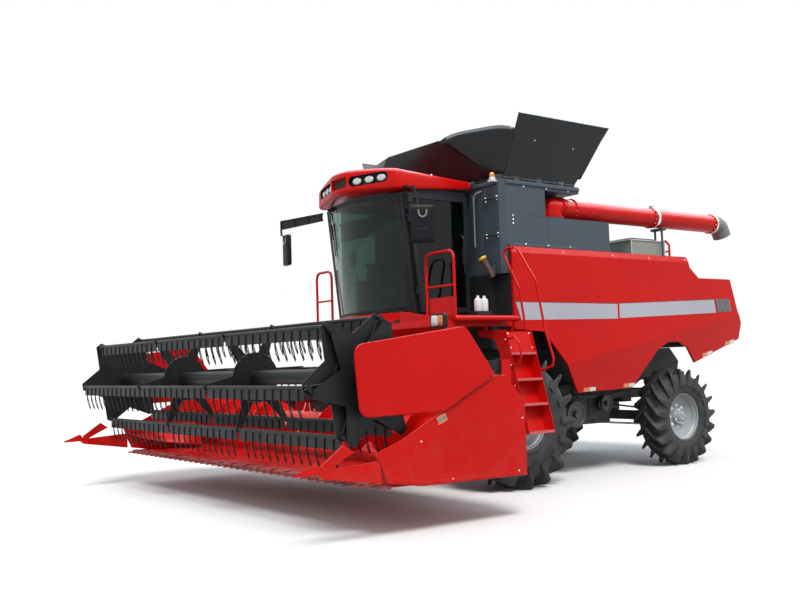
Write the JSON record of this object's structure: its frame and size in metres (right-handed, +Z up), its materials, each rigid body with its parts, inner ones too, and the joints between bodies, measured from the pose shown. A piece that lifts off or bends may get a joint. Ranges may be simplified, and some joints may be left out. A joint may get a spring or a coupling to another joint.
{
  "type": "combine harvester",
  "caption": "Self-propelled grain combine with a wide cutting header, pickup reel, glazed cab, open grain tank flaps and a folding unloading auger.",
  "frame": {"origin": "bottom centre of the whole machine, on the ground under the middle of its length", "axes": "+X forward over the header, +Y to the machine's left, +Z up"},
  "size_m": [8.8499, 6.184, 4.5612],
  "materials": {
    "body_red": "gloss",
    "tank_grey": "satin",
    "flap_black": "satin",
    "chassis_grey": "satin",
    "trim_black": "matte",
    "reel_black": "satin",
    "rim_silver": "satin",
    "tyre": "matte",
    "bright_steel": "brushed",
    "knife_steel": "brushed",
    "cast_block": "rough",
    "spout_rubber": "matte",
    "cab_glass": "clear",
    "lamp_lens": "clear",
    "seat_fabric": "woven"
  },
  "bodies": {
    "root": {"chassis_rails": "chassis_grey", "front_axle": "chassis_grey", "rear_axle": "chassis_grey", "separator_body": "chassis_grey", "rear_hood": "body_red", "side_panel_left": "body_red", "side_panel_right": "body_red", "grain_tank": "tank_grey", "engine_deck": "tank_grey", "engine_block": "cast_block", "deck_fittings": "tank_grey", "cab_frame": "trim_black", "cab_glass": "cab_glass", "cab_roof": "body_red", "lamps": "lamp_lens", "seat": "seat_fabric", "cab_controls": "trim_black", "mirrors": "trim_black", "platform": "body_red", "handrails": "body_red", "ladder": "body_red", "front_frame": "chassis_grey"},
    "front_wheel_left": {"front_tyre_left": "tyre", "front_rim_left": "rim_silver"},
    "front_wheel_right": {"front_tyre_right": "tyre", "front_rim_right": "rim_silver"},
    "rear_wheel_left": {"rear_tyre_left": "tyre", "rear_rim_left": "rim_silver"},
    "rear_wheel_right": {"rear_tyre_right": "tyre", "rear_rim_right": "rim_silver"},
    "knuckle_left": {"rear_knuckle_left": "chassis_grey"},
    "knuckle_right": {"rear_knuckle_right": "chassis_grey"},
    "tie_rod": {"tie_rod": "bright_steel"},
    "feeder": {"feeder_house": "body_red", "header_trough": "body_red", "header_ends": "body_red", "cutter_bar": "knife_steel"},
    "lift_barrels": {"lift_cylinder_barrels": "trim_black"},
    "lift_rods": {"lift_cylinder_rods": "bright_steel"},
    "auger": {"header_auger": "body_red"},
    "reel_arms": {"reel_arms": "reel_black", "reel_shields": "body_red"},
    "reel": {"reel_core": "reel_black"},
    "eccentric": {"reel_eccentric": "reel_black"},
    "bat_1": {"reel_bat_1": "reel_black"},
    "bat_2": {"reel_bat_2": "reel_black"},
    "bat_3": {"reel_bat_3": "reel_black"},
    "bat_4": {"reel_bat_4": "reel_black"},
    "bat_5": {"reel_bat_5": "reel_black"},
    "bat_6": {"reel_bat_6": "reel_black"},
    "reel_barrels": {"reel_cylinder_barrels": "reel_black"},
    "reel_rods": {"reel_cylinder_rods": "bright_steel"},
    "unloader": {"unloader_tube": "body_red", "unloader_spout": "spout_rubber"},
    "door": {"cab_door_frame": "trim_black", "cab_door_glass": "cab_glass"},
    "flap_left": {"tank_flap_left": "flap_black"},
    "flap_right": {"tank_flap_right": "flap_black"},
    "flap_front": {"tank_flap_front": "flap_black"},
    "flap_rear": {"tank_flap_rear": "flap_black"}
  },
  "joints": [
    {"name": "front_wheel_spin_left", "type": "hinge", "parent": "root", "child": "front_wheel_left", "pos_m": [0.375, 1.36, 0.8], "axis": [0, 1, 0], "continuous": true},
    {"name": "front_wheel_spin_right", "type": "hinge", "parent": "root", "child": "front_wheel_right", "pos_m": [0.375, -1.36, 0.8], "axis": [0, 1, 0], "continuous": true},
    {"name": "steer_left", "type": "hinge", "parent": "root", "child": "knuckle_left", "pos_m": [-2.885, 0.93, 0.675], "axis": [0, 0, 1], "range_deg": [-35, 35]},
    {"name": "rear_wheel_spin_left", "type": "hinge", "parent": "knuckle_left", "child": "rear_wheel_left", "pos_m": [-2.885, 1.26, 0.675], "axis": [0, 1, 0], "continuous": true},
    {"name": "steer_right", "type": "hinge", "parent": "root", "child": "knuckle_right", "pos_m": [-2.885, -0.93, 0.675], "axis": [0, 0, 1], "range_deg": [-35, 35]},
    {"name": "rear_wheel_spin_right", "type": "hinge", "parent": "knuckle_right", "child": "rear_wheel_right", "pos_m": [-2.885, -1.26, 0.675], "axis": [0, 1, 0], "continuous": true},
    {"name": "tie_rod_pivot", "type": "hinge", "parent": "knuckle_left", "child": "tie_rod", "pos_m": [-3.085, 0.93, 0.529], "axis": [0, 0, 1], "range_deg": [-35, 35]},
    {"name": "header_lift", "type": "hinge", "parent": "root", "child": "feeder", "pos_m": [0.875, 0, 1.5], "axis": [0, 1, 0], "range_deg": [-14, 9]},
    {"name": "lift_barrel_pivot", "type": "hinge", "parent": "root", "child": "lift_barrels", "pos_m": [0.535, 0, 0.54], "axis": [0, 1, 0], "range_deg": [-4.53, 2.93]},
    {"name": "lift_rod_slide", "type": "slide", "parent": "lift_barrels", "child": "lift_rods", "axis": [0.9498, 0, 0.3129], "range_m": [-0.12499, 0.19414]},
    {"name": "auger_spin", "type": "hinge", "parent": "feeder", "child": "auger", "pos_m": [2.395, 0, 0.85], "axis": [0, 1, 0], "continuous": true},
    {"name": "reel_lift", "type": "hinge", "parent": "feeder", "child": "reel_arms", "pos_m": [1.995, 0, 1.5], "axis": [0, 1, 0], "range_deg": [-18, 3]},
    {"name": "reel_barrel_pivot", "type": "hinge", "parent": "feeder", "child": "reel_barrels", "pos_m": [2.275, 0, 1.18], "axis": [0, 1, 0], "range_deg": [-20.66, 3.48]},
    {"name": "reel_rod_slide", "type": "slide", "parent": "reel_barrels", "child": "reel_rods", "axis": [0.9303, 0, 0.3668], "range_m": [-0.02222, 0.1308]},
    {"name": "reel_spin", "type": "hinge", "parent": "reel_arms", "child": "reel", "pos_m": [3.635, 0, 1.45], "axis": [0, 1, 0], "continuous": true},
    {"name": "eccentric_spin", "type": "hinge", "parent": "reel_arms", "child": "eccentric", "pos_m": [3.565, 0, 1.39], "axis": [0, 1, 0], "continuous": true},
    {"name": "bat_1_swivel", "type": "hinge", "parent": "reel", "child": "bat_1", "pos_m": [3.98593, 0, 1.89917], "axis": [0, 1, 0], "continuous": true},
    {"name": "bat_2_swivel", "type": "hinge", "parent": "reel", "child": "bat_2", "pos_m": [3.42147, 0, 1.97849], "axis": [0, 1, 0], "continuous": true},
    {"name": "bat_3_swivel", "type": "hinge", "parent": "reel", "child": "bat_3", "pos_m": [3.07055, 0, 1.52933], "axis": [0, 1, 0], "continuous": true},
    {"name": "bat_4_swivel", "type": "hinge", "parent": "reel", "child": "bat_4", "pos_m": [3.28407, 0, 1.00083], "axis": [0, 1, 0], "continuous": true},
    {"name": "bat_5_swivel", "type": "hinge", "parent": "reel", "child": "bat_5", "pos_m": [3.84853, 0, 0.92151], "axis": [0, 1, 0], "continuous": true},
    {"name": "bat_6_swivel", "type": "hinge", "parent": "reel", "child": "bat_6", "pos_m": [4.19945, 0, 1.37067], "axis": [0, 1, 0], "continuous": true},
    {"name": "unloader_swing", "type": "hinge", "parent": "root", "child": "unloader", "pos_m": [-0.575, 1.215, 3.5], "axis": [0, 0, -1], "range_deg": [0, 95]},
    {"name": "door_swing", "type": "hinge", "parent": "root", "child": "door", "pos_m": [1.46944, 0.886, 2.86], "axis": [-0.1104, 0, -0.9939], "range_deg": [0, 70]},
    {"name": "flap_fold_left", "type": "hinge", "parent": "root", "child": "flap_left", "pos_m": [-0.225, 1.38, 3.81], "axis": [1, 0, 0], "range_deg": [0, 98]},
    {"name": "flap_fold_right", "type": "hinge", "parent": "root", "child": "flap_right", "pos_m": [-0.225, -1.38, 3.81], "axis": [-1, 0, 0], "range_deg": [0, 98]},
    {"name": "flap_fold_front", "type": "hinge", "parent": "root", "child": "flap_front", "pos_m": [0.445, 0, 3.81], "axis": [0, -1, 0], "range_deg": [0, 115]},
    {"name": "flap_fold_rear", "type": "hinge", "parent": "root", "child": "flap_rear", "pos_m": [-0.915, 0, 3.81], "axis": [0, 1, 0], "range_deg": [0, 115]}
  ],
  "couplings": [
    {"joint": "flap_fold_right", "follows": "flap_fold_left", "ratio": 1},
    {"joint": "flap_fold_front", "follows": "flap_fold_left", "ratio": 1.1735},
    {"joint": "flap_fold_rear", "follows": "flap_fold_left", "ratio": 1.1735},
    {"joint": "steer_right", "follows": "steer_left", "ratio": 1},
    {"joint": "tie_rod_pivot", "follows": "steer_left", "ratio": -1},
    {"joint": "lift_barrel_pivot", "follows": "header_lift", "ratio": 0.31995},
    {"joint": "lift_rod_slide", "follows": "header_lift", "m_per_rad": -0.7925},
    {"joint": "reel_barrel_pivot", "follows": "reel_lift", "ratio": 1.1448},
    {"joint": "reel_rod_slide", "follows": "reel_lift", "m_per_rad": -0.41476},
    {"joint": "eccentric_spin", "follows": "reel_spin", "ratio": 1},
    {"joint": "bat_1_swivel", "follows": "reel_spin", "ratio": -1},
    {"joint": "bat_2_swivel", "follows": "reel_spin", "ratio": -1},
    {"joint": "bat_3_swivel", "follows": "reel_spin", "ratio": -1},
    {"joint": "bat_4_swivel", "follows": "reel_spin", "ratio": -1},
    {"joint": "bat_5_swivel", "follows": "reel_spin", "ratio": -1},
    {"joint": "bat_6_swivel", "follows": "reel_spin", "ratio": -1}
  ]
}
